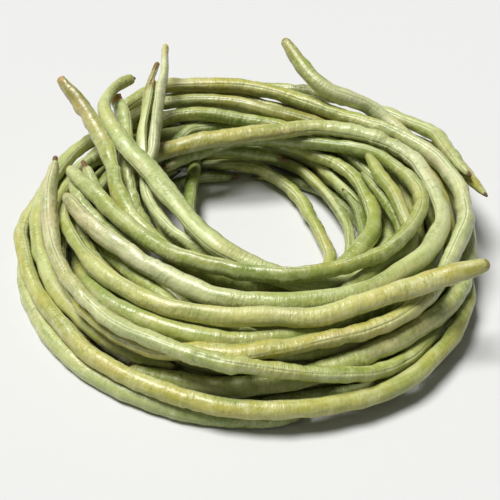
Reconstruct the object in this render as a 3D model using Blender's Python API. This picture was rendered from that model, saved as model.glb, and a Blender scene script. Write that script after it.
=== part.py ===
"""A bunch of yardlong beans wound into a coil, lying on a flat surface.

Thirty-three pods, each about 40 cm long and as thick as a pencil, are laid round and round like a wreath.
Many ends gather at the left. The pods run from there past the front, the right and the back,
and a few ends stand up out of the coil. A pod is drawn where it shows, and lies in a lane of the
coil where others cover it. All of them then settle together until they rest on each other.

Routes are in millimetres, as (bearing, radius, height): the bearing in degrees round the middle of the
coil, counted from the right over the back, and the height of the pod's middle line over the surface.
"""

import math
import random
from collections import namedtuple

import bmesh
import bpy
import numpy as np
from mathutils import Matrix

MM = 0.001

# Rings of one pod: how far apart, and how much the pod may turn from one to the next
RING_STEP = 16.0
RING_TURN = 0.35
SIDES_LEVEL = 2
FLAT_SIDE_DOWN = math.radians(22.5)

# Shapes of a pod's ends, as (distance from the end, share of the pod's full radius)
END_SHAPES = {
    "stalk": ((0, 0.38), (2.5, 0.43), (4.5, 0.40), (6.5, 0.70), (11, 0.86), (20, 1.0)),
    "blunt": ((0, 0.40), (1.5, 0.62), (6, 0.80), (18, 1.0)),
    "beak": ((0, 0.18), (3, 0.32), (10, 0.58), (22, 0.85), (36, 1.0)),
    "slender": ((0, 0.30), (1.5, 0.48), (6, 0.60), (30, 0.68), (60, 0.86), (90, 1.0)),
    "withered": ((0, 0.50), (3, 0.60), (18, 0.70), (40, 0.86), (60, 1.0)),
}

# Sizes of the coil
LAYER_RISE = 7.0
FIRST_LAYER = 3.9
LANE_EASE = 60.0
LANE_STEP = 22.0
LANE_WANDER = 2.2
SEED = 7

# Settling
GAP = 0.45
SETTLE_STEPS = 420
FIRM_STEPS = 260
SINK = 0.16
STANDING_FROM = 31.0
STANDING_BY = 41.0
HOLD_DRAWN = 0.10
HOLD_HIDDEN = 0.02
LIFT_DRAWN = 0.03
STIFFNESS = 0.5
PUSH = 0.55
LOOK_EVERY = 8
LOOK_MARGIN = 5.0
SELF_SKIP = 4
SOLE_DEPTH = 0.45

# Skin of the pods: colour and roughness
SKINS = {
    "pale": ((0.47, 0.56, 0.25), 0.45),
    "green": ((0.33, 0.44, 0.13), 0.45),
    "yellow": ((0.52, 0.53, 0.17), 0.45),
}

# drawn is where the pod shows. before and after are its hidden ends, as (lane radius, layer, length).
# ends names the shape of the first and the last end.
Pod = namedtuple("Pod", "name skin thick ends drawn before after")

PODS = (
    # long turns that make the top of the coil
    Pod("inner_turn", "green", 7.6, ("blunt", "stalk"),
        ((171, 91, 32), (193, 67, 31), (220, 56, 30), (250, 52, 30), (281, 54, 30), (306, 60, 31),
         (332, 71, 33), (355, 79, 35), (377, 82, 32), (405, 79, 28), (435, 69, 24)),
        None, (66, 2, 80)),
    Pod("middle_turn", "pale", 8.6, ("blunt", "stalk"),
        ((182, 90, 29), (201, 76, 29), (230, 66, 29), (265, 68, 29), (297, 73, 30), (321, 80, 30),
         (349, 91, 31), (372, 92, 31), (394, 91, 31), (422, 72, 33), (453, 54, 34), (484, 58, 33)),
        None, (78, 3, 45)),
    Pod("yellow_turn", "yellow", 8.8, ("stalk", "beak"),
        ((115, 110, 29), (92, 102, 30), (71, 95, 30), (49, 97, 31), (26, 105, 30), (4, 105, 29),
         (-11, 99, 28), (-34, 97, 26), (-56, 93, 26), (-85, 92, 25)),
        (104, 3, 40), (95, 2, 110)),
    Pod("rim_rider", "yellow", 8.8, ("stalk", "blunt"),
        ((191, 90, 25), (217, 85, 27), (249, 82, 30), (286, 81, 31), (301, 84, 33), (316, 90, 36),
         (327, 102, 40), (335, 118, 46)),
        (96, 0, 210), None),
    Pod("left_outer", "pale", 8.2, ("stalk", "beak"),
        ((166, 100, 38), (188, 96, 32), (210, 97, 30), (235, 98, 30), (260, 98, 30), (282, 95, 24)),
        None, (96, 1, 200)),
    # ends that stand up at the back left and dive under the front of the coil
    Pod("back_left_arm", "green", 7.6, ("blunt", "beak"),
        ((146, 121, 54), (151, 93, 46), (161, 75, 40), (184, 61, 35), (210, 51, 30), (240, 47, 24),
         (285, 50, 20), (330, 61, 19), (364, 66, 19), (397, 71, 19), (424, 73, 20)),
        None, (74, 2, 30)),
    Pod("crossing_pod", "pale", 10.0, ("slender", "stalk"),
        ((128, 104, 44), (137, 102, 45), (146, 92, 44), (153, 78, 42), (163, 60, 40), (179, 44, 38),
         (219, 36, 36), (248, 41, 34), (272, 45, 29), (300, 56, 22), (326, 68, 21)),
        None, (78, 1, 130)),
    Pod("cut_end", "green", 7.6, ("blunt", "beak"),
        ((135, 102, 39), (141, 83, 36), (150, 73, 32), (178, 54, 25), (205, 42, 18), (245, 37, 8),
         (300, 38, 5), (355, 41, 4), (409, 46, 4), (430, 57, 4), (450, 70, 4)),
        None, (84, 0, 40)),
    Pod("upright_a", "pale", 6.2, ("withered", "stalk"),
        ((116, 114, 52), (122, 93, 46), (134, 72, 41), (147, 59, 35), (168, 54, 30), (196, 47, 28),
         (232, 43, 25), (275, 48, 12), (325, 56, 9), (361, 60, 9), (391, 65, 9), (428, 74, 9)),
        None, (80, 1, 30)),
    Pod("upright_b", "green", 5.6, ("withered", "stalk"),
        ((120, 112, 52), (127, 100, 46), (133, 89, 42), (145, 74, 28), (170, 64, 18)),
        None, (68, 0, 250)),
    Pod("upright_c", "pale", 6.6, ("withered", "stalk"),
        ((124, 98, 47), (131, 85, 43), (146, 68, 34), (162, 54, 27), (194, 41, 25), (237, 38, 22),
         (285, 43, 7), (340, 48, 5), (381, 55, 4), (421, 67, 4), (440, 76, 4)),
        None, (86, 0, 50)),
    # ends that show at the left
    Pod("left_stub", "green", 7.2, ("stalk", "beak"),
        ((164, 88, 35), (175, 76, 29), (190, 63, 22), (215, 55, 12)),
        None, (64, 0, 260)),
    Pod("left_inner", "yellow", 7.6, ("stalk", "blunt"),
        ((150, 97, 22), (164, 95, 28), (177, 87, 31), (190, 75, 29), (215, 58, 23), (242, 51, 21),
         (267, 52, 22), (291, 56, 23), (311, 66, 24)),
        (94, 1, 150), None),
    Pod("left_gap_outer", "green", 8.0, ("beak", "stalk"),
        ((203, 76, 20), (215, 76, 22), (228, 78, 21)),
        (82, 1, 60), (94, 0, 290)),
    Pod("left_gap_inner", "yellow", 7.4, ("stalk", "beak"),
        ((222, 67, 21), (240, 70, 22), (254, 72, 21)),
        (76, 1, 70), (80, 1, 280)),
    Pod("front_under", "green", 8.2, ("stalk", "beak"),
        ((225, 87, 21), (250, 86, 23), (270, 85, 22), (292, 84, 22), (316, 86, 22)),
        (84, 0, 110), (96, 2, 170)),
    # ends and turns at the back and the right
    Pod("right_outer", "pale", 8.4, ("stalk", "beak"),
        ((92, 112, 26), (66, 113, 29), (40, 116, 30), (29, 113, 32), (17, 110, 36), (13, 110, 38)),
        (100, 1, 240), None),
    Pod("right_beak", "pale", 7.8, ("stalk", "beak"),
        ((63, 108, 21), (34, 108, 25), (17, 105, 31), (5, 108, 37)),
        (92, 0, 290), None),
    Pod("back_arm", "yellow", 8.8, ("blunt", "stalk"),
        ((84, 112, 50), (78, 100, 44), (70, 92, 39), (62, 92, 35), (50, 104, 25), (30, 110, 18)),
        None, (102, 1, 270)),
    Pod("back_turn_outer", "yellow", 8.0, ("stalk", "beak"),
        ((115, 107, 24), (100, 102, 25), (81, 92, 25), (58, 94, 23), (32, 99, 21)),
        (104, 2, 60), (94, 1, 190)),
    Pod("back_turn_middle", "green", 7.8, ("beak", "stalk"),
        ((119, 98, 25), (101, 88, 26), (83, 81, 25), (55, 86, 21)),
        (92, 1, 110), (86, 2, 180)),
    Pod("back_turn_inner", "pale", 7.8, ("stalk", "beak"),
        ((123, 88, 23), (100, 77, 23), (63, 76, 19), (29, 80, 13)),
        (86, 1, 70), (76, 1, 190)),
    Pod("inside_right_a", "yellow", 7.4, ("blunt", "stalk"),
        ((38, 72, 28), (20, 68, 28), (3, 71, 28), (-15, 78, 25), (-36, 69, 25)),
        None, (66, 1, 290)),
    Pod("inside_right_b", "pale", 7.4, ("beak", "stalk"),
        ((36, 66, 25), (12, 67, 25), (-7, 75, 22)),
        None, (72, 0, 320)),
    Pod("hole_crossing", "green", 7.4, ("stalk", "beak"),
        ((98, 88, 8), (108, 84, 10), (117, 73, 10), (129, 52, 9), (158, 34, 9), (200, 27, 10),
         (245, 34, 10)),
        (98, 0, 95), (62, 1, 150)),
    Pod("hole_edge", "yellow", 7.4, ("beak", "stalk"),
        ((113, 80, 18), (124, 73, 13), (137, 64, 11)),
        (88, 1, 130), (58, 0, 200)),
    # pods of the lowest layer, which only show from the side
    Pod("low_outer_front", "green", 8.2, ("stalk", "beak"),
        ((272, 105, 4), (300, 105, 4)), None, (105, 0, 285)),
    Pod("low_outer_back", "pale", 8.2, ("beak", "stalk"),
        ((112, 105, 4), (140, 105, 4)), None, (105, 0, 270)),
    Pod("low_middle", "green", 8.0, ("stalk", "beak"),
        ((300, 86, 4), (330, 86, 4)), None, (86, 0, 330)),
    Pod("low_inner", "pale", 7.8, ("beak", "stalk"),
        ((120, 76, 4), (150, 76, 4)), None, (76, 0, 330)),
    # pods halfway up the side
    Pod("side_left", "yellow", 8.0, ("stalk", "beak"),
        ((150, 106, 12), (180, 107, 12)), None, (106, 1, 320)),
    Pod("side_front", "green", 7.8, ("beak", "stalk"),
        ((215, 91, 13), (240, 91, 13)), None, (91, 1, 330)),
    Pod("side_back", "pale", 8.2, ("stalk", "beak"),
        ((30, 102, 13), (60, 101, 14)), None, (97, 1, 330)),
)


def place(bearing, radius, height):
    """The point of a route, in millimetres."""
    angle = math.radians(bearing)
    return (radius * math.cos(angle), radius * math.sin(angle), height)


def lane(start, turn, target, draw):
    """Route points that run on from start along a lane of the coil, until the hidden length is used up."""
    bearing, radius, height = start
    lane_radius, layer, length = target
    lane_height = FIRST_LAYER + layer * LAYER_RISE
    phase = draw.uniform(0, 2 * math.pi)
    count = max(1, round(length / LANE_STEP))
    points = []
    for i in range(1, count + 1):
        run = length * i / count
        eased = min(1.0, run / LANE_EASE)
        eased = eased * eased * (3 - 2 * eased)
        wander = LANE_WANDER * eased * math.sin(phase + run / 45.0)
        here = radius + (lane_radius - radius) * eased + wander
        bearing += turn * math.degrees(length / count / here)
        points.append((bearing, here, height + (lane_height - height) * eased))
    return points


def whole_route(pod, draw):
    """The pod's points from its first end to its last, each with a fourth number: 1 where it is drawn."""
    drawn = list(pod.drawn)
    turn = 1 if drawn[-1][0] > drawn[0][0] else -1
    before = lane(drawn[0], -turn, pod.before, draw)[::-1] if pod.before else []
    after = lane(drawn[-1], turn, pod.after, draw) if pod.after else []
    route = np.array([place(*p) for p in before + drawn + after])
    shown = np.array([0.0] * len(before) + [1.0] * len(drawn) + [0.0] * len(after))
    return np.column_stack([route, shown])


def smooth_line(points, step=2.0):
    """A smooth curve through the route's points (Catmull-Rom), as closely spaced points."""
    ends = np.vstack([2 * points[0] - points[1], points, 2 * points[-1] - points[-2]])
    line = []
    for a, b, c, d in zip(ends, ends[1:], ends[2:], ends[3:]):
        count = max(2, math.ceil(math.dist(b[:3], c[:3]) / step))
        for i in range(count):
            t = i / count
            line.append(0.5 * (2 * b + (c - a) * t + (2 * a - 5 * b + 4 * c - d) * t**2
                               + (3 * b - 3 * c + d - a) * t**3))
    line.append(points[-1])
    return np.array(line)


def dot(a, b):
    return a[:, 0] * b[:, 0] + a[:, 1] * b[:, 1] + a[:, 2] * b[:, 2]


def distances(line):
    """How far along the line each of its points is."""
    steps = np.diff(line, axis=0)
    return np.concatenate([[0.0], np.cumsum(np.sqrt(dot(steps, steps)))])


def ring_runs(line, along, ends):
    """Distances along the pod of its rings: set by its ends' shapes, and closer together in a tight bend."""
    head = [distance for distance, share in END_SHAPES[ends[0]]]
    tail = [along[-1] - distance for distance, share in END_SHAPES[ends[1]]][::-1]
    lengths = np.diff(along)
    ways = np.diff(line[:, :3], axis=0) / lengths[:, None]
    turns = np.diff(ways, axis=0)
    cost = lengths / RING_STEP
    cost[1:] = np.maximum(cost[1:], np.sqrt(dot(turns, turns)) / RING_TURN)
    costs = np.concatenate([[0.0], np.cumsum(cost)])
    low, high = np.interp([head[-1], tail[0]], along, costs)
    between = np.linspace(low, high, max(2, round(high - low) + 1))[1:-1]
    return np.concatenate([head, np.interp(between, costs, along), tail])


def girth(runs, length, pod):
    """Radius of the pod at each run, from the shapes of its two ends."""
    head, tail = END_SHAPES[pod.ends[0]], END_SHAPES[pod.ends[1]][::-1]
    at = [distance for distance, share in head] + [length - distance for distance, share in tail]
    size = [share * pod.thick / 2 for distance, share in head + tail]
    return np.interp(runs, at, size)


def laid_pods():
    """Each pod's ring centres as first laid, its radii, and how far each ring is drawn."""
    draw = random.Random(SEED)
    centres, radii, shown = [], [], []
    for pod in PODS:
        line = smooth_line(whole_route(pod, draw))
        along = distances(line)
        runs = ring_runs(line, along, pod.ends)
        centres.append(np.column_stack([np.interp(runs, along, line[:, k]) for k in range(3)]))
        shown.append(np.clip(np.interp(runs, along, line[:, 3]), 0, 1))
        radii.append(girth(runs, along[-1], pod))
    return centres, radii, shown


def close_pairs(points, first, reach, owner):
    """Pairs of segments near enough to touch soon, other than neighbours on one pod."""
    middle = (points[first] + points[first + 1]) / 2
    span = points[first + 1] - points[first]
    half = np.sqrt(dot(span, span)) / 2
    size = half + reach
    near = np.zeros((len(first), len(first)))
    for k in range(3):
        near += (middle[:, None, k] - middle[None, :, k])**2
    close = near < (size[:, None] + size[None, :] + LOOK_MARGIN)**2
    a, b = np.nonzero(np.triu(close, 1))
    apart = (owner[a] != owner[b]) | (b - a >= SELF_SKIP)
    return a[apart], b[apart]


def nearest(p, d1, q, d2):
    """Where along two segments they come closest, as shares of each."""
    r = p - q
    a, e, b = dot(d1, d1), dot(d2, d2), dot(d1, d2)
    c, f = dot(d1, r), dot(d2, r)
    flat = a * e - b * b
    s = np.where(flat > 1e-6 * a * e, (b * f - c * e) / np.maximum(flat, 1e-12), 0.5)
    s = np.clip(s, 0, 1)
    t = (b * s + f) / e
    s = np.where(t < 0, np.clip(-c / a, 0, 1), np.where(t > 1, np.clip((b - c) / a, 0, 1), s))
    return s, np.clip(t, 0, 1)


def push_apart(points, radii, first, pairs, share):
    """Moves the segments that come closer than their radii and the gap allow. Returns the worst shortfall."""
    a, b = first[pairs[0]], first[pairs[1]]
    d1, d2 = points[a + 1] - points[a], points[b + 1] - points[b]
    s, t = nearest(points[a], d1, points[b], d2)
    way = points[a] + d1 * s[:, None] - points[b] - d2 * t[:, None]
    apart = np.sqrt(np.maximum(dot(way, way), 1e-9))
    wanted = radii[a] * (1 - s) + radii[a + 1] * s + radii[b] * (1 - t) + radii[b + 1] * t + GAP
    short = np.maximum(wanted - apart, 0)
    hit = short > 0
    if not hit.any():
        return 0.0
    a, b, s, t, short, way, apart = (x[hit] for x in (a, b, s, t, short, way, apart))
    weights = ((1 - s, a, 1), (s, a + 1, 1), (1 - t, b, -1), (t, b + 1, -1))
    total = (1 - s)**2 + s**2 + (1 - t)**2 + t**2
    move = way * (share * short / apart / total)[:, None]
    shift = np.zeros_like(points)
    for weight, index, sign in weights:
        np.add.at(shift, index, move * (sign * weight)[:, None])
    points += shift
    return float(short.max())


def settle(centres, radii, shown):
    """Lets the pods sink, bend a little and push each other apart, until they rest on each other."""
    counts = [len(c) for c in centres]
    starts = np.cumsum([0] + counts[:-1])
    points = np.vstack(centres)
    sizes = np.concatenate(radii)
    drawn = np.concatenate(shown)
    hold = HOLD_HIDDEN + (HOLD_DRAWN - HOLD_HIDDEN) * drawn
    owner_of_point = np.repeat(np.arange(len(counts)), counts)
    first = np.array([i for i in range(len(points) - 1) if owner_of_point[i] == owner_of_point[i + 1]])
    reach = np.maximum(sizes[first], sizes[first + 1])
    back, ahead = np.arange(len(points)) - 1, np.arange(len(points)) + 1
    back[starts] = starts
    ahead[starts + counts - 1] = starts + counts - 1
    home = points.copy()
    standing = np.clip((home[:, 2] - STANDING_FROM) / (STANDING_BY - STANDING_FROM), 0, 1)
    for step in range(SETTLE_STEPS + FIRM_STEPS):
        firm = step >= SETTLE_STEPS
        if step % LOOK_EVERY == 0:
            points = np.round(points, 6)
            pairs = close_pairs(points, first, reach, owner_of_point[first])
        if not firm:
            points[:, 2] -= SINK * (1 - step / SETTLE_STEPS) * (1 - standing)
            points[:, :2] += hold[:, None] * (home[:, :2] - points[:, :2])
            points[:, 2] += LIFT_DRAWN * drawn * np.maximum(home[:, 2] - points[:, 2], 0)
        moved = points - home
        evened = (moved[back] + moved[ahead]) / 2
        stiffness = STIFFNESS * (max(0.0, 1 - (step - SETTLE_STEPS) / (0.7 * FIRM_STEPS)) if firm else 1)
        points = home + moved + stiffness * (evened - moved)
        push_apart(points, sizes, first, pairs, PUSH)
        points[:, 2] = np.maximum(points[:, 2], sizes)
    return [points[s:s + n] for s, n in zip(starts, counts)]


def skin_material(name):
    colour, roughness = SKINS[name]
    material = bpy.data.materials.new(name + "_skin")
    material.use_nodes = True
    shader = material.node_tree.nodes["Principled BSDF"]
    shader.inputs["Base Color"].default_value = (*colour, 1)
    shader.inputs["Roughness"].default_value = roughness
    shader.inputs["Metallic"].default_value = 0.0
    return material


def pod_curve(name, centres, radii):
    """A tube of eight sides through the ring centres, with a flat side down."""
    curve = bpy.data.curves.new(name, "CURVE")
    curve.dimensions = "3D"
    curve.twist_mode = "Z_UP"
    curve.bevel_depth = MM
    curve.bevel_resolution = SIDES_LEVEL
    curve.use_fill_caps = True
    spline = curve.splines.new("POLY")
    spline.points.add(len(centres) - 1)
    for point, centre, radius in zip(spline.points, centres, radii):
        point.co = (*(centre * MM), 1)
        point.radius = radius
        point.tilt = FLAT_SIDE_DOWN
    return bpy.data.objects.new(name, curve)


def pod_solid(name, centres, radii, material, collection):
    """The pod as one closed mesh, flattened a little where it lies on the surface."""
    guide = pod_curve(name + "_line", centres, radii)
    collection.objects.link(guide)
    graph = bpy.context.evaluated_depsgraph_get()
    mesh = bpy.data.meshes.new_from_object(guide.evaluated_get(graph))
    shape = bmesh.new()
    shape.from_mesh(mesh)
    bmesh.ops.remove_doubles(shape, verts=shape.verts, dist=0.01 * MM)
    for vertex in shape.verts:
        if vertex.co.z < SOLE_DEPTH * MM:
            vertex.co.z = 0.0
    bmesh.ops.triangulate(shape, faces=shape.faces)
    shape.to_mesh(mesh)
    shape.free()
    mesh.name = name
    mesh.materials.clear()
    mesh.materials.append(material)
    mesh.shade_smooth()
    pod = bpy.data.objects.new(name, mesh)
    pod.matrix_world = guide.matrix_world
    collection.objects.link(pod)
    bpy.data.objects.remove(guide)
    return pod


def stand_on_origin(pods):
    """Moves the pods so that the origin is the bottom middle of the whole bunch."""
    corners = np.array([pod.matrix_world @ vertex.co for pod in pods for vertex in pod.data.vertices])
    low, high = corners.min(axis=0), corners.max(axis=0)
    middle = (low + high) / 2
    for pod in pods:
        pod.data.transform(Matrix.Translation((-middle[0], -middle[1], 0)))


def main():
    for item in list(bpy.data.objects):
        bpy.data.objects.remove(item)
    collection = bpy.data.collections.new("yardlong_bean_bunch")
    bpy.context.scene.collection.children.link(collection)
    materials = {name: skin_material(name) for name in SKINS}
    centres, radii, shown = laid_pods()
    centres = settle(centres, radii, shown)
    pods = [pod_solid("pod_" + pod.name, line, sizes, materials[pod.skin], collection)
            for pod, line, sizes in zip(PODS, centres, radii)]
    stand_on_origin(pods)


main()
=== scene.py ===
import math

import bmesh
import bpy
import numpy as np
from mathutils import Matrix, Vector


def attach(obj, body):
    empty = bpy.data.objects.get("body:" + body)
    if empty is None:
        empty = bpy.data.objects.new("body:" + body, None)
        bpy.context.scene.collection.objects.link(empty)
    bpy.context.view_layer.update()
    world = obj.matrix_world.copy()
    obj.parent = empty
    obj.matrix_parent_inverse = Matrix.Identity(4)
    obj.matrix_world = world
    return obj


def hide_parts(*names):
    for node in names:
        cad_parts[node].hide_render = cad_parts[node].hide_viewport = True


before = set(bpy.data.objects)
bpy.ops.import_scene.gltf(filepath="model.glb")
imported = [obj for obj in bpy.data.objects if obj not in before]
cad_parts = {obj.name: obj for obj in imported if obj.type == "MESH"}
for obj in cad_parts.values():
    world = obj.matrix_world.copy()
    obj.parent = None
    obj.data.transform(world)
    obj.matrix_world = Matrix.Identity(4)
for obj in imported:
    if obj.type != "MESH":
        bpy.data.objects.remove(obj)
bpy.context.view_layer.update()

# The pods of the bottom of the coil. Each is a fresh seed pod: a soft wet tube of green skin over a row of
# seeds, with a seam down each side, a woody stalk at one end and a dry beak at the other. They were laid
# first, so the others press on them, and they show only from the sides and from below.
MM = 0.001
SOLID_SIDES = 8
END_FACE_EDGE = math.radians(50)
WELD = 0.001 * MM

# The ends of a pod, in millimetres. "form" is its share of the full radius at distances from the end, "face"
# is that share on the end face of its solid, "dry" is how far it is all dry and how far partly dry, and
# "tint" is the colour it dries to.
STALK = {
    "form": ((0, 0.0), (0.12, 0.16), (0.5, 0.28), (1.4, 0.34), (2.4, 0.35), (3.4, 0.37), (4.3, 0.45),
             (5.0, 0.58), (6.2, 0.68), (8.5, 0.79), (12, 0.89), (17, 0.96), (22, 1.0), (30, 1.0)),
    "face": 0.38,
    "dry": (3.4, 8.0),
    "tint": (112, 82, 50),
}
BEAK = {
    "form": ((0, 0.0), (0.3, 0.12), (1.2, 0.20), (3.0, 0.31), (6.0, 0.45), (10, 0.58), (16, 0.74),
             (22, 0.85), (30, 0.95), (36, 1.0), (46, 1.0)),
    "face": 0.18,
    "dry": (1.2, 5.0),
    "tint": (92, 66, 34),
}


def solid_rings(node):
    """Middles and radii of the rings of a pod's solid, in millimetres, from one of its ends to the other."""
    solid = bmesh.new()
    solid.from_mesh(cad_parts[node].data)
    bmesh.ops.remove_doubles(solid, verts=solid.verts[:], dist=WELD)
    solid.verts.index_update()
    rim = {edge for edge in solid.edges if edge.calc_face_angle() > END_FACE_EDGE}
    ring = set()
    for edge in solid.edges:
        if edge in rim and len(ring) != SOLID_SIDES:
            ring = set(edge.verts)
            reach = 0
            while reach < len(ring):
                reach = len(ring)
                ring |= {vert for other in rim if ring & set(other.verts) for vert in other.verts}
    met = set(ring)
    middles, radii = [], []
    while ring:
        places = np.array([vert.co for vert in sorted(ring, key=lambda vert: vert.index)]) / MM
        middles.append(places.mean(axis=0))
        radii.append(np.median(np.linalg.norm(places - middles[-1], axis=1)))
        ring = {edge.other_vert(vert) for vert in ring for edge in vert.link_edges} - met
        met |= ring
    solid.free()
    return np.array(middles), np.array(radii)


def smooth_through(marks, values, at):
    """A smooth curve through the values given at the marks, read at other places."""
    marks = np.asarray(marks, float)
    values = np.asarray(values, float)
    slopes = np.gradient(values, marks, axis=0)
    cell = np.clip(np.searchsorted(marks, at, side="right") - 1, 0, len(marks) - 2)
    span = marks[cell + 1] - marks[cell]
    part = (at - marks[cell]) / span
    if values.ndim > 1:
        span = span[:, None]
        part = part[:, None]
    rise = part * part * (3 - 2 * part)
    bow = span * part * (1 - part) * ((1 - part) * slopes[cell] - part * slopes[cell + 1])
    return values[cell] + (values[cell + 1] - values[cell]) * rise + bow


def unevenness(chance, along, around, step, cells):
    """Smooth chance values from -1 to 1 over a pod: one each step along it, so many cells around it."""
    table = chance.uniform(-1, 1, (int(along.max() / step) + 2, cells))
    row = along / step
    column = around * cells
    row_before = row.astype(int)
    column_before = np.floor(column).astype(int)
    down = row - row_before
    across = column - column_before
    down = down * down * (3 - 2 * down)
    across = across * across * (3 - 2 * across)
    left = column_before % cells
    right = (column_before + 1) % cells
    before = table[row_before, left] * (1 - across) + table[row_before, right] * across
    after = table[row_before + 1, left] * (1 - across) + table[row_before + 1, right] * across
    return before * (1 - down) + after * down


SEED_SPACING = 11.0
SEED_GAPS = (0.82, 1.2)
SEED_SIZES = (0.35, 1.0)
SEED_BREADTH = 0.30


def seed_swelling(chance, along):
    """From 0 between two seeds to 1 over a seed, for a row of seeds of uneven size and spacing."""
    swelling = np.zeros_like(along)
    place = SEED_SPACING
    while place < along.max() - SEED_SPACING:
        size = chance.uniform(*SEED_SIZES)
        swelling += size * np.exp(-((along - place) / (SEED_BREADTH * SEED_SPACING)) ** 2)
        place += SEED_SPACING * chance.uniform(*SEED_GAPS)
    return swelling


def linear(tint):
    """A colour as the renderer counts it, from the numbers that a screen shows it with."""
    share = np.asarray(tint, float) / 255
    return np.where(share > 0.04045, ((share + 0.055) / 1.055) ** 2.4, share / 12.92)


# How the skin of one pod lies over its seeds: heights in millimetres, but "oval" is a share of the radius
PLUMP = {
    "seeds": 0.36, "lumps": 0.32, "wrinkles": 0.20, "folds": 0.0,
    "oval": 0.05, "ridge": 0.14, "groove": 0.24,
}
DRY_CRUMPLE = 0.42
RIDGE_BREADTH = 1.2
GROOVE_BREADTH = 0.32

# How far each kind of unevenness runs along the pod in millimetres, and how many of it lie round the pod
WAVES = {
    "line outward": (17, 1), "line upward": (21, 1), "seam": (40, 1),
    "slow swell": (46, 1), "quick swell": (15, 1), "small lumps": (7, 3), "large lumps": (24, 5),
    "rippled places": (34, 2), "fine ripples": (1.9, 5), "coarse ripples": (3.6, 4), "folds": (55, 13),
    "dry crumples": (1.4, 5), "dry folds": (60, 11),
}
LINE_WANDER = 0.60
CALM_END = 25
SEAM_WANDER = 0.22
SLOW_SWELL = 0.035
QUICK_SWELL = 0.025
LARGE_LUMPS = 0.6
FINE_RIPPLES = 0.8
SEEDS_AT_SEAM = 0.35
USUAL_RIPPLE = 0.52
RIPPLE_SPREAD = 1.1
RIPPLE_LIMITS = (0.16, 1.25)
RELIEF_AT_TIP = 1.3

# The net of the mesh, and how much of its solid's radius the skin takes. EVEN is a pod with no waist.
SKIN_SHARE = 0.975
LINE_MARKS = 600
CROWD_AT_ENDS = 3.0
CROWDED_END = 5
CROWD_AT_SEAMS = 0.70
HEADING_REACH = 1.5
PATTERN_STEP = 1000
EVEN = ((0, 1.0), (1, 1.0))


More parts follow.
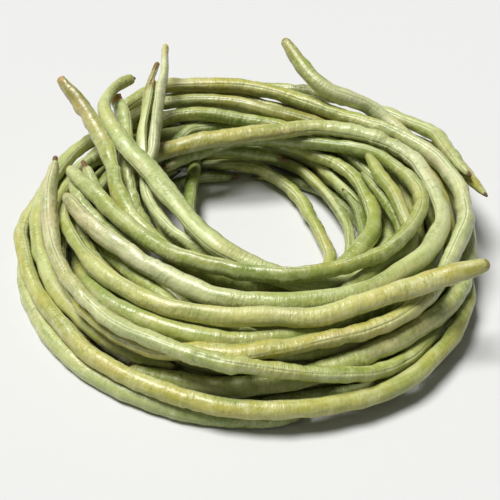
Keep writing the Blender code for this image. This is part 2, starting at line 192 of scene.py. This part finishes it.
def grow_pod(name, ends, tints, seam=((0, 115), (1, 135)), waist=EVEN, skin=PLUMP,
             spacing=0.85, sides=28, seed=0):
    """One pod over its solid: a flat sheet of mesh rolled into a tube, closed at both ends and laid along
    the solid's line. Tints are (share of the length, colour), waist is (share of the length, share of the
    thickness), and seam is (share of the length, its bearing round the pod in degrees, from 0 on the side
    away from the hole over 90 at the top)."""
    middles, radii = solid_rings("pod_" + name)
    girth = np.median(radii)
    shares = np.array([radii[0], radii[-1]]) / girth
    wanted = np.array([ends[0]["face"], ends[1]["face"]])
    if np.abs(shares - wanted).sum() > np.abs(shares[::-1] - wanted).sum():
        middles = middles[::-1]
    steps = np.linalg.norm(np.diff(middles, axis=0), axis=1)
    marks = np.concatenate(([0.0], np.cumsum(steps)))
    length = marks[-1]
    rings = int(length / spacing)

    sheet = bmesh.new()
    bmesh.ops.create_grid(sheet, x_segments=rings, y_segments=sides, size=0.5)
    mesh = bpy.data.meshes.new("bean_" + name)
    sheet.to_mesh(mesh)
    sheet.free()
    flat = np.empty(len(mesh.vertices) * 3)
    mesh.vertices.foreach_get("co", flat)
    flat = flat.reshape(-1, 3) + 0.5
    ring = np.rint(flat[:, 0] * rings).astype(int)
    around = np.rint(flat[:, 1] * sides) / sides

    # Where each ring comes on the line, closer together near the ends
    rule = np.linspace(0, length, LINE_MARKS)
    crowd = 1 + CROWD_AT_ENDS * (np.exp(-rule / CROWDED_END) + np.exp((rule - length) / CROWDED_END))
    reached = np.cumsum(crowd)
    reached = (reached - reached[0]) / (reached[-1] - reached[0])
    ring_at = np.interp(np.arange(rings + 1) / rings, reached, rule)
    line = smooth_through(marks, middles, ring_at)
    ahead = smooth_through(marks, middles, np.minimum(ring_at + HEADING_REACH, length))
    behind = smooth_through(marks, middles, np.maximum(ring_at - HEADING_REACH, 0))
    heading = ahead - behind
    heading /= np.linalg.norm(heading, axis=1)[:, None]
    outward = np.cross(heading, (0, 0, 1))
    outward /= np.linalg.norm(outward, axis=1)[:, None]
    if (outward * line)[:, :2].sum() < 0:
        outward = -outward
    upward = np.cross(heading, outward)
    upward *= np.sign(upward[:, 2])[:, None]

    # The line wanders a little, but not at its ends
    chance = np.random.default_rng(seed)
    calm = np.clip(np.minimum(ring_at, length - ring_at) / CALM_END, 0, 1)[:, None]
    once = np.zeros(rings + 1)
    wander_outward = unevenness(chance, ring_at, once, *WAVES["line outward"])[:, None]
    wander_upward = unevenness(chance, ring_at, once, *WAVES["line upward"])[:, None]
    line = line + calm * LINE_WANDER * (outward * wander_outward + upward * wander_upward)

    along = ring_at[ring]
    start_dry, start_fresh = ends[0]["dry"]
    end_dry, end_fresh = ends[1]["dry"]
    dry_first = np.clip((start_fresh - along) / (start_fresh - start_dry), 0, 1)
    dry_last = np.clip((end_fresh - length + along) / (end_fresh - end_dry), 0, 1)
    dry = np.maximum(dry_first, dry_last)

    # The two seams stand half a turn apart, with the columns of the sheet crowded round them
    bearing = np.radians(np.interp(ring_at / length, [s for s, _ in seam], [b for _, b in seam]))
    bearing = bearing + SEAM_WANDER * unevenness(chance, ring_at, once, *WAVES["seam"])
    from_seam = 2 * np.pi * around - CROWD_AT_SEAMS / 2 * np.sin(4 * np.pi * around)
    turn = from_seam + bearing[ring]
    taper = 1
    for end, distance in zip(ends, (along, length - along)):
        form_marks, form_shares = zip(*end["form"])
        form = smooth_through(form_marks, form_shares, np.minimum(distance, form_marks[-1]))
        taper = taper * np.clip(form, 0, 1)

    # Thickness and relief: seeds, lumps, ripples, folds, the ridges and grooves of the seams, and dry ends
    thick = 1 + SLOW_SWELL * unevenness(chance, along, around, *WAVES["slow swell"])
    thick += QUICK_SWELL * unevenness(chance, along, around, *WAVES["quick swell"])
    thick = thick * np.interp(along / length, [s for s, _ in waist], [w for _, w in waist])
    off_seam = np.abs(np.sin(from_seam))
    over_seeds = SEEDS_AT_SEAM + (1 - SEEDS_AT_SEAM) * off_seam
    relief = skin["seeds"] * (seed_swelling(chance, along) - 0.5) * over_seeds
    relief += skin["lumps"] * unevenness(chance, along, around, *WAVES["small lumps"])
    relief += skin["lumps"] * LARGE_LUMPS * unevenness(chance, along, around, *WAVES["large lumps"])
    places = unevenness(chance, along, around, *WAVES["rippled places"])
    rippled = skin["wrinkles"] * np.clip(USUAL_RIPPLE + RIPPLE_SPREAD * places, *RIPPLE_LIMITS)
    relief += rippled * FINE_RIPPLES * unevenness(chance, along, around, *WAVES["fine ripples"])
    relief += rippled * unevenness(chance, along, around, *WAVES["coarse ripples"])
    relief += skin["folds"] * unevenness(chance, along, around, *WAVES["folds"])
    relief += skin["oval"] * girth * np.cos(2 * from_seam)
    relief += skin["ridge"] * np.exp(-(girth * off_seam / RIDGE_BREADTH) ** 2)
    relief -= skin["groove"] * np.exp(-(girth * off_seam / GROOVE_BREADTH) ** 2)
    relief += DRY_CRUMPLE * dry * unevenness(chance, along, around, *WAVES["dry crumples"])
    relief += DRY_CRUMPLE * dry * unevenness(chance, along, around, *WAVES["dry folds"])
    radius = taper * (girth * SKIN_SHARE * thick + relief * np.clip(taper * RELIEF_AT_TIP, 0, 1))
    spoke = outward[ring] * np.cos(turn)[:, None] + upward[ring] * np.sin(turn)[:, None]
    place = line[ring] + spoke * radius[:, None]
    place[:, 2] = np.maximum(place[:, 2], 0.0)
    mesh.vertices.foreach_set("co", (place * MM).ravel())

    # What the skin's material reads: the place on the pod laid out straight, its tint, and its dry ends
    flat_across = radius * np.cos(from_seam)
    flat_beside = radius * np.sin(from_seam)
    straight = np.stack((along + PATTERN_STEP * seed, flat_across, flat_beside), axis=1)
    mesh.attributes.new("straight", "FLOAT_VECTOR", "POINT").data.foreach_set("vector", straight.ravel())
    colours = linear([colour for _, colour in tints])
    stops = [s for s, _ in tints]
    tint = np.stack([np.interp(along / length, stops, colours[:, c]) for c in range(3)], axis=1)
    tint = np.concatenate((tint, np.ones((len(tint), 1))), axis=1)
    mesh.attributes.new("tint", "FLOAT_COLOR", "POINT").data.foreach_set("color", tint.ravel())
    mesh.attributes.new("dry", "FLOAT", "POINT").data.foreach_set("value", dry)
    second_half = (along > length / 2)[:, None]
    dry_tint = np.where(second_half, linear(ends[1]["tint"]), linear(ends[0]["tint"]))
    dry_tint = np.concatenate((dry_tint, np.ones((len(dry_tint), 1))), axis=1)
    mesh.attributes.new("dry_tint", "FLOAT_COLOR", "POINT").data.foreach_set("color", dry_tint.ravel())

    # The sheet's long edges meet in one seam, and its short edges close to a point
    tube = bmesh.new()
    tube.from_mesh(mesh)
    bmesh.ops.remove_doubles(tube, verts=tube.verts[:], dist=WELD)
    bmesh.ops.recalc_face_normals(tube, faces=tube.faces[:])
    for face in tube.faces:
        face.smooth = True
    tube.to_mesh(mesh)
    tube.free()
    pod = bpy.data.objects.new("bean_" + name, mesh)
    bpy.context.scene.collection.objects.link(pod)
    return pod


# Patches of the skin: how long and how wide they are in millimetres, how ragged, and between which levels of
# the noise they fade in. The layers of colour lie over a pod's tint in this order, each with its strength.
CLOUDS = (
    # The pale whitish patches are partly the skin's mottling and partly painted sheen.
    ((212, 216, 162), (17, 6, 3, 0.45, 0.72), 0.55),
    ((98, 126, 44), (23, 5, 3, 0.46, 0.70), 0.50),
    ((190, 174, 86), (31, 9, 2, 0.50, 0.72), 0.40),
    ((200, 180, 146), (24, 7, 3, 0.56, 0.72), 0.38),
)
RIPPLED_PLACES = (36, 12, 1, 0.42, 0.60)
# The pale crests of the ripples are painted highlights, and their dark creases are painted shade.
RIPPLE_HIGHLIGHT_AND_SHADE = (
    ((220, 221, 176), (2.6, 5.0, 3, 0.48, 0.76), 0.50),
    ((84, 112, 28), (2.2, 5.0, 2, 0.54, 0.80), 0.46),
)
STREAKS = ((84, 112, 28), (26, 0.8, 2, 0.54, 0.78), 0.30)
SCARS = (
    ((150, 122, 66), (1.3, 0.9, 1, 0.70, 0.76), 0.65),
    ((120, 84, 44), (3.6, 2.2, 3, 0.73, 0.79), 0.55),
)
WORN_SEAM = (22, 4, 2, 0.40, 0.58)
FRAYED_END = (5, 1.6, 3, 0.30, 0.70)
WET_PLACES = (19, 5, 3, 0.40, 0.62)
FINE_CREASES = (1.5, 3.6, 3, 0.25, 0.75)
GRAIN = (0.55, 0.55, 2, 0.25, 0.75)

# The bands beside a seam: half their width in millimetres, colour and strength. They fade between two shares
# of that width. SATIN is the roughness of skin that isn't wet, and dried skin is duller by DULLED.
SEAM_BANDS = ((1.1, (216, 219, 168), 0.42), (0.30, (92, 106, 56), 0.58))
BAND_FADES = (1.5, 0.4)
FRAYING = 0.9
DRIED_FROM_TO = (0.75, 1.25)
SATIN = 0.44
DULLED = 0.3


def pod_skin(name, wet):
    """Skin of a pod: its tint in soft patches, ripples across it with painted light and shade, streaks along
    it, seams and dry ends.
    """
    material = bpy.data.materials.new(name)
    material.use_nodes = True
    nodes = material.node_tree.nodes
    links = material.node_tree.links
    shader = nodes["Principled BSDF"]

    def attribute(title):
        node = nodes.new("ShaderNodeAttribute")
        node.attribute_name = title
        return node

    straight = attribute("straight").outputs["Vector"]
    tint = attribute("tint").outputs["Color"]
    dry = attribute("dry").outputs["Fac"]
    dry_tint = attribute("dry_tint").outputs["Color"]

    def spread(value, low, high, first=0.0, last=1.0, soft=False):
        """The value, drawn out so that low becomes the first number and high becomes the last."""
        node = nodes.new("ShaderNodeMapRange")
        node.interpolation_type = "SMOOTHSTEP" if soft else "LINEAR"
        for title, number in (("From Min", low), ("From Max", high), ("To Min", first), ("To Max", last)):
            node.inputs[title].default_value = number
        links.new(value, node.inputs["Value"])
        return node.outputs["Result"]

    def patches(long, wide, ragged, low, high):
        """From 0 outside the patches to 1 inside them."""
        mapping = nodes.new("ShaderNodeMapping")
        mapping.inputs["Scale"].default_value = (1 / long, 1 / wide, 1 / wide)
        noise = nodes.new("ShaderNodeTexNoise")
        noise.inputs["Scale"].default_value = 1
        noise.inputs["Detail"].default_value = ragged
        noise.inputs["Roughness"].default_value = 0.55
        links.new(straight, mapping.inputs["Vector"])
        links.new(mapping.outputs["Vector"], noise.inputs["Vector"])
        return spread(noise.outputs["Fac"], low, high)

    def result_of(operation, first, second):
        """What the operation gives for two values, each a number or another node's value."""
        node = nodes.new("ShaderNodeMath")
        node.operation = operation
        node.use_clamp = operation == "MULTIPLY"
        for socket, value in zip(node.inputs, (first, second)):
            if isinstance(value, (int, float)):
                socket.default_value = value
            else:
                links.new(value, socket)
        return node.outputs["Value"]

    def over(under, colour, share):
        """The colour laid over what is under it, by that share."""
        node = nodes.new("ShaderNodeMix")
        node.data_type = "RGBA"
        links.new(share, node.inputs["Factor"])
        links.new(under, node.inputs["A"])
        if isinstance(colour, tuple):
            node.inputs["B"].default_value = (*linear(colour), 1)
        else:
            links.new(colour, node.inputs["B"])
        return node.outputs["Result"]

    skin = tint
    for colour, patch, strength in CLOUDS:
        skin = over(skin, colour, result_of("MULTIPLY", patches(*patch), strength))

    # It ripples across in some stretches and is smoother in others; the pale crests are painted highlights
    # and the dark creases painted shade
    rippled = spread(patches(*RIPPLED_PLACES), 0, 1, 0.5, 1.0)
    for colour, patch, strength in RIPPLE_HIGHLIGHT_AND_SHADE:
        ripples = result_of("MULTIPLY", patches(*patch), rippled)
        skin = over(skin, colour, result_of("MULTIPLY", ripples, strength))
    colour, patch, strength = STREAKS
    skin = over(skin, colour, result_of("MULTIPLY", patches(*patch), strength))

    # Thin dark line in the groove of each seam, between two pale ridges
    apart = nodes.new("ShaderNodeSeparateXYZ")
    links.new(straight, apart.inputs["Vector"])
    beside = result_of("ABSOLUTE", apart.outputs["Z"], 0)
    for width, colour, strength in SEAM_BANDS:
        band = spread(beside, width * BAND_FADES[0], width * BAND_FADES[1], soft=True)
        worn = result_of("MULTIPLY", band, patches(*WORN_SEAM))
        skin = over(skin, colour, result_of("MULTIPLY", worn, strength))

    # Small brown scars and specks, then the dry ends, whose edges are frayed
    for colour, patch, strength in SCARS:
        skin = over(skin, colour, result_of("MULTIPLY", patches(*patch), strength))
    frayed = result_of("ADD", dry, result_of("MULTIPLY", patches(*FRAYED_END), FRAYING))
    dried = result_of("MULTIPLY", spread(frayed, *DRIED_FROM_TO), result_of("GREATER_THAN", dry, 0.001))
    skin = over(skin, dry_tint, dried)
    links.new(skin, shader.inputs["Base Color"])

    # Wet in patches, dull where it has dried
    gloss = spread(patches(*WET_PLACES), 0, 1, SATIN, SATIN - wet)
    dull = result_of("ADD", gloss, result_of("MULTIPLY", dried, DULLED))
    links.new(dull, shader.inputs["Roughness"])
    shader.inputs["Coat Weight"].default_value = 0.24
    shader.inputs["Coat Roughness"].default_value = 0.22
    shader.inputs["Subsurface Weight"].default_value = 0.10
    shader.inputs["Subsurface Radius"].default_value = (0.9, 1.0, 0.35)
    shader.inputs["Subsurface Scale"].default_value = 0.002

    # Fine creases across the pod, and the grain of the skin
    creases = nodes.new("ShaderNodeBump")
    creases.inputs["Strength"].default_value = 0.9
    creases.inputs["Distance"].default_value = 0.5 * MM
    links.new(result_of("MULTIPLY", patches(*FINE_CREASES), rippled), creases.inputs["Height"])
    grain = nodes.new("ShaderNodeBump")
    grain.inputs["Strength"].default_value = 0.45
    grain.inputs["Distance"].default_value = 0.09 * MM
    links.new(patches(*GRAIN), grain.inputs["Height"])
    links.new(creases.outputs["Normal"], grain.inputs["Normal"])
    links.new(grain.outputs["Normal"], shader.inputs["Normal"])
    return material


# Colours of fresh pods, as a screen shows them, and the three skins, which differ in how wet they are
PALE = (186, 193, 128)
LIME = (162, 170, 86)
GREEN = (128, 144, 64)
# On the pods round the hole, DEEP is partly painted shade.
DEEP = (102, 119, 50)
YELLOW = (180, 172, 84)

skins = {
    "pale_skin": pod_skin("pale_skin", 0.20),
    "green_skin": pod_skin("green_skin", 0.24),
    "yellow_skin": pod_skin("yellow_skin", 0.16),
}


def lay(name, slot, ends, tints, **looks):
    """Grows a pod, dresses it, and puts it in the place of its solid."""
    pod = grow_pod(name, ends, tints, **looks)
    pod.data.materials.append(skins[slot])
    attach(pod, "root")
    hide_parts("pod_" + name)
    return pod


LOW = {"spacing": 1.15, "sides": 24}
lay("low_outer_front", "green_skin", (STALK, BEAK), ((0, GREEN), (0.5, LIME), (1, DEEP)), seed=1, **LOW)
lay("low_outer_back", "pale_skin", (BEAK, STALK), ((0, LIME), (0.6, PALE), (1, GREEN)), seed=2, **LOW)
lay("low_middle", "green_skin", (STALK, BEAK), ((0, GREEN), (1, DEEP)), seed=3, **LOW)
lay("low_inner", "pale_skin", (BEAK, STALK), ((0, GREEN), (1, LIME)), seed=4, **LOW)
lay("side_left", "yellow_skin", (STALK, BEAK), ((0, LIME), (0.5, YELLOW), (1, LIME)), seed=5, **LOW)
lay("side_front", "green_skin", (BEAK, STALK), ((0, GREEN), (0.5, LIME), (1, GREEN)), seed=6, **LOW)
lay("side_back", "pale_skin", (STALK, BEAK), ((0, LIME), (0.5, PALE), (1, LIME)), seed=7, **LOW)

# The pods round the hole. They lie lower than the top turns and in their shade. Their skin is fresh, and its
# deeper green is partly their own colour and partly painted shade. They hold by lying against the turns
# outside them, and some cross over the others.
BLUNT = {
    "form": ((0, 0.0), (0.25, 0.24), (0.8, 0.42), (2.0, 0.62), (4.0, 0.74), (7.0, 0.83), (12, 0.93),
             (18, 1.0), (30, 1.0)),
    "face": 0.40,
    "dry": (0.8, 4.0),
    "tint": (140, 127, 64),
}
lay("hole_edge", "yellow_skin", (BEAK, STALK), ((0, GREEN), (0.5, DEEP), (1, DEEP)), seed=8)
lay("hole_crossing", "green_skin", (STALK, BEAK), ((0, DEEP), (0.5, GREEN), (1, DEEP)), seed=9)
lay("inside_right_a", "yellow_skin", (BLUNT, STALK), ((0, LIME), (0.5, LIME), (1, GREEN)), seed=10)
lay("inside_right_b", "pale_skin", (BEAK, STALK), ((0, GREEN), (0.5, GREEN), (1, DEEP)), seed=11)

# The turns at the back, side by side. These pods are riper, full of seeds and partly gone olive, and each
# lies against the next, with its stalk and its beak tucked in between the others.
OLIVE = (152, 143, 66)
lay("back_turn_outer", "yellow_skin", (STALK, BEAK), ((0, LIME), (0.5, YELLOW), (1, LIME)), seed=12)
lay("back_turn_middle", "green_skin", (BEAK, STALK), ((0, LIME), (0.5, OLIVE), (1, GREEN)), seed=13)
lay("back_turn_inner", "pale_skin", (STALK, BEAK), ((0, GREEN), (0.5, LIME), (1, LIME)), seed=14)

# The pods at the left, seen one below the other in the gap. They were snapped off the plant, so the stalks
# that gather here are short brown knobs. The upper two have gone soft: the skin is loose and ripples across.
SOFT = {
    "seeds": 0.34, "lumps": 0.48, "wrinkles": 0.28, "folds": 0.06,
    "oval": 0.07, "ridge": 0.18, "groove": 0.34,
}
# WHITISH is pale skin, and on the top pods it is partly painted highlight too.
WHITISH = (203, 205, 160)
TAN = (194, 182, 140)
lay("left_gap_outer", "green_skin", (BEAK, STALK), ((0, LIME), (0.5, GREEN), (1, GREEN)), seed=15)
lay("left_gap_inner", "yellow_skin", (STALK, BEAK), ((0, LIME), (0.5, LIME), (1, GREEN)), seed=16)
lay("left_stub", "green_skin", (STALK, BEAK), ((0, PALE), (0.3, LIME), (1, GREEN)), seed=17)
lay("left_inner", "yellow_skin", (STALK, BLUNT), ((0, LIME), (0.5, PALE), (0.8, LIME), (1, YELLOW)),
    seam=((0, 60), (0.4, 85), (0.7, 120), (1, 130)), skin=SOFT, seed=18)
lay("left_outer", "pale_skin", (STALK, BEAK),
    ((0, WHITISH), (0.1, TAN), (0.3, PALE), (0.5, LIME), (1, LIME)),
    seam=((0, 100), (0.15, 80), (0.3, 60), (1, 20)), skin=SOFT, seed=19)
lay("front_under", "green_skin", (STALK, BEAK),
    ((0, GREEN), (0.4, LIME), (0.6, GREEN), (1, YELLOW)), seed=20)

# The pods whose beaks stick out at the right. They are soft and slender, and bulge where a seed lies under
# the skin. The weight of the turns on top of them holds them down.
lay("right_outer", "pale_skin", (STALK, BEAK), ((0, LIME), (0.5, LIME), (0.8, PALE), (1, LIME)),
    skin=SOFT, seed=21)
lay("right_beak", "pale_skin", (STALK, BEAK), ((0, LIME), (0.6, PALE), (0.95, YELLOW), (1, OLIVE)),
    skin=SOFT, seed=22)

# The long pods on top, which hold the coil together by winding over the others. They are thick and soft,
# with a rippled skin tinted paler and yellower, partly their own colour and partly painted light.
# The bright stretch of the front pod is partly its pale skin and partly painted light.
PALE_GREEN_AND_PAINTED_LIGHT = (196, 194, 118)
lay("inner_turn", "green_skin", (BLUNT, STALK),
    ((0, PALE), (0.12, LIME), (0.25, GREEN), (0.34, GREEN), (0.42, LIME), (0.58, LIME), (0.7, GREEN),
     (1, GREEN)),
    seam=((0, 150), (0.08, 124), (0.2, 97), (0.45, 90), (0.52, 84), (0.58, 82), (0.66, 116), (1, 125)),
    skin=SOFT, seed=23)
lay("middle_turn", "pale_skin", (BLUNT, STALK),
    ((0, TAN), (0.15, WHITISH), (0.28, LIME), (0.45, PALE), (0.6, WHITISH), (0.72, PALE), (0.85, YELLOW),
     (1, OLIVE)),
    seam=((0, 98), (0.12, 100), (0.2, 112), (0.5, 150), (1, 200)), skin=SOFT, seed=24)
lay("yellow_turn", "yellow_skin", (STALK, BEAK),
    ((0, LIME), (0.12, YELLOW), (0.3, LIME), (0.42, WHITISH), (0.58, PALE), (0.68, YELLOW), (1, YELLOW)),
    seam=((0, 160), (0.3, 125), (0.4, 112), (0.52, 104), (0.6, 80), (0.7, 40), (1, 0)), skin=SOFT, seed=25)
lay("rim_rider", "yellow_skin", (STALK, BLUNT),
    ((0, LIME), (0.5, LIME), (0.62, PALE_GREEN_AND_PAINTED_LIGHT), (0.75, PALE_GREEN_AND_PAINTED_LIGHT), (0.88, PALE_GREEN_AND_PAINTED_LIGHT), (0.95, YELLOW), (1, OLIVE)),
    waist=((0, 1), (0.4, 0.9), (0.47, 0.66), (0.53, 0.74), (0.57, 1.05), (0.6, 0.95), (0.66, 1), (1, 1)),
    seam=((0, 115), (0.47, 98), (0.65, 96), (0.75, 112), (1, 140)), seed=26)
# Its whitish stretch near the olive end is partly painted light.
lay("back_arm", "yellow_skin", (BLUNT, STALK),
    ((0, OLIVE), (0.06, LIME), (0.13, WHITISH), (0.3, PALE), (1, LIME)), seed=27)

# The pods whose ends stand up out of the coil, with the rest of them caught between its turns. One end was
# cut and one broke off. The thin ones have shrunk into long folds, and their tips have withered or faded.
CUT = {
    "form": ((0, 0.0), (0.04, 0.34), (0.10, 0.62), (0.5, 0.70), (2.0, 0.74), (6.0, 0.84), (12, 0.94),
             (18, 1.0), (30, 1.0)),
    "face": 0.40,
    "dry": (4.2, 5.4),
    "tint": (194, 142, 86),
}
BROKEN = {
    "form": ((0, 0.0), (0.1, 0.28), (0.4, 0.50), (1.2, 0.66), (3.0, 0.74), (8.0, 0.82), (16, 0.93),
             (24, 1.0), (34, 1.0)),
    "face": 0.40,
    "dry": (1.8, 4.6),
    "tint": (178, 140, 84),
}
SLENDER = {
    "form": ((0, 0.0), (0.2, 0.11), (0.9, 0.17), (1.5, 0.24), (2.1, 0.42), (3.6, 0.54), (6.5, 0.61),
             (15, 0.64), (30, 0.69), (60, 0.86), (90, 1.0), (110, 1.0)),
    "face": 0.30,
    "dry": (1.6, 3.4),
    "tint": (92, 66, 32),
}
WITHERED = {
    "form": ((0, 0.0), (0.2, 0.25), (0.7, 0.46), (2.0, 0.56), (5.0, 0.60), (10, 0.63), (18, 0.70),
             (40, 0.86), (60, 1.0), (70, 1.0)),
    "face": 0.50,
    "dry": (1.0, 15.0),
    "tint": (122, 98, 46),
}
FADED = {
    "form": ((0, 0.0), (0.2, 0.34), (0.7, 0.54), (2.0, 0.62), (5.0, 0.66), (10, 0.68), (18, 0.74),
             (40, 0.88), (60, 1.0), (70, 1.0)),
    "face": 0.50,
    "dry": (1.0, 14.0),
    "tint": (190, 182, 116),
}
SHRUNK = {
    "seeds": 0.12, "lumps": 0.34, "wrinkles": 0.12, "folds": 0.42,
    "oval": 0.12, "ridge": 0.24, "groove": 0.40,
}
BRONZE = (150, 138, 76)
FRESH = (190, 200, 134)
lay("back_left_arm", "green_skin", (BROKEN, BEAK), ((0, BRONZE), (0.06, BRONZE), (0.16, LIME), (1, LIME)),
    skin=SOFT, seed=28)
lay("crossing_pod", "pale_skin", (SLENDER, STALK),
    ((0, LIME), (0.08, PALE), (0.2, FRESH), (0.5, FRESH), (1, LIME)),
    seam=((0, 60), (0.1, 150), (0.22, 190), (0.5, 190), (1, 165)), skin=SOFT, seed=29)
lay("cut_end", "green_skin", (CUT, BEAK), ((0, PALE), (0.15, LIME), (1, LIME)), skin=SOFT, seed=30)
lay("upright_a", "pale_skin", (FADED, STALK), ((0, WHITISH), (0.2, WHITISH), (0.4, PALE), (1, PALE)),
    seam=((0, 70), (1, 100)), skin=SHRUNK, seed=31)
lay("upright_b", "green_skin", (WITHERED, STALK), ((0, OLIVE), (0.2, GREEN), (1, LIME)),
    skin=SHRUNK, seed=32)
lay("upright_c", "pale_skin", (WITHERED, STALK), ((0, PALE), (0.3, PALE), (1, LIME)), skin=SHRUNK, seed=33)

# The floor that the bunch lies on: a plain pale matt sheet, which is no part of it. One broad soft lamp
# lights it from above, a little to the left, and an even pale surround gives the rest.
FLOOR_REACH = 4.0
FLOOR_TINT = (206, 206, 204)
SURROUND_TINT = (0.97, 0.99, 1.0)
SURROUND_STRENGTH = 0.13
LAMP_STRENGTH = 4.3
LAMP_BREADTH = math.radians(25)
LAMP_SIDE = Vector((-0.34, 0.03, 0.94))
floor_shape = bmesh.new()
bmesh.ops.create_grid(floor_shape, x_segments=8, y_segments=8, size=FLOOR_REACH)
floor_mesh = bpy.data.meshes.new("floor")
floor_shape.to_mesh(floor_mesh)
floor_shape.free()
floor = bpy.data.objects.new("floor", floor_mesh)
bpy.context.scene.collection.objects.link(floor)
paint = bpy.data.materials.new("pale_floor")
paint.use_nodes = True
matt = paint.node_tree.nodes["Principled BSDF"]
matt.inputs["Base Color"].default_value = (*linear(FLOOR_TINT), 1)
matt.inputs["Roughness"].default_value = 0.75
floor_mesh.materials.append(paint)

world = bpy.data.worlds.new("pale_surround")
world.use_nodes = True
surround = world.node_tree.nodes["Background"]
surround.inputs["Color"].default_value = (*SURROUND_TINT, 1)
surround.inputs["Strength"].default_value = SURROUND_STRENGTH
bpy.context.scene.world = world
bpy.context.scene.view_settings.view_transform = "Standard"

lamp = bpy.data.lights.new("lamp", "SUN")
lamp.energy = LAMP_STRENGTH
lamp.angle = LAMP_BREADTH
light = bpy.data.objects.new("lamp", lamp)
light.rotation_euler = LAMP_SIDE.to_track_quat("Z", "Y").to_euler()
bpy.context.scene.collection.objects.link(light)

# The camera, which looks down on the coil from the front. Its height, tilt and distance were worked out from
# how a level circle looks in the photograph. Lengths are in millimetres, and pixels are the photograph's.
AIM = Vector((-0.37, -1.78, 46.0))
LOOKING_DOWN = math.radians(37.2)
ROLL = math.radians(-3.35)
DISTANCE = 600.0
FOCAL_PIXELS = 1267.0
AIM_PIXEL = (252.1, 185.7)
FRAME_PIXELS = 500
SENSOR = 36.0

towards = Vector((0, -math.cos(LOOKING_DOWN), math.sin(LOOKING_DOWN)))
rightward = Vector((1, 0, 0))
skyward = towards.cross(rightward)


def sight_line(column, row):
    """The direction in which the camera sees that pixel of the photograph."""
    across = column - AIM_PIXEL[0]
    up = AIM_PIXEL[1] - row
    level_across = math.cos(ROLL) * across + math.sin(ROLL) * up
    level_up = -math.sin(ROLL) * across + math.cos(ROLL) * up
    return -towards + rightward * (level_across / FOCAL_PIXELS) + skyward * (level_up / FOCAL_PIXELS)


half = FRAME_PIXELS / 2
camera_back = -sight_line(half, half).normalized()
camera_right = sight_line(FRAME_PIXELS, half) - sight_line(0, half)
camera_right = (camera_right - camera_back * camera_right.dot(camera_back)).normalized()
camera_up = camera_back.cross(camera_right)
stand = Matrix((camera_right, camera_up, camera_back)).transposed().to_4x4()
stand.translation = (AIM + towards * DISTANCE) * MM
lens = bpy.data.cameras.new("camera")
lens.lens = SENSOR * FOCAL_PIXELS / FRAME_PIXELS
lens.sensor_width = SENSOR
lens.clip_start = 0.01
camera = bpy.data.objects.new("camera", lens)
camera.matrix_world = stand
bpy.context.scene.collection.objects.link(camera)
bpy.context.scene.camera = camera
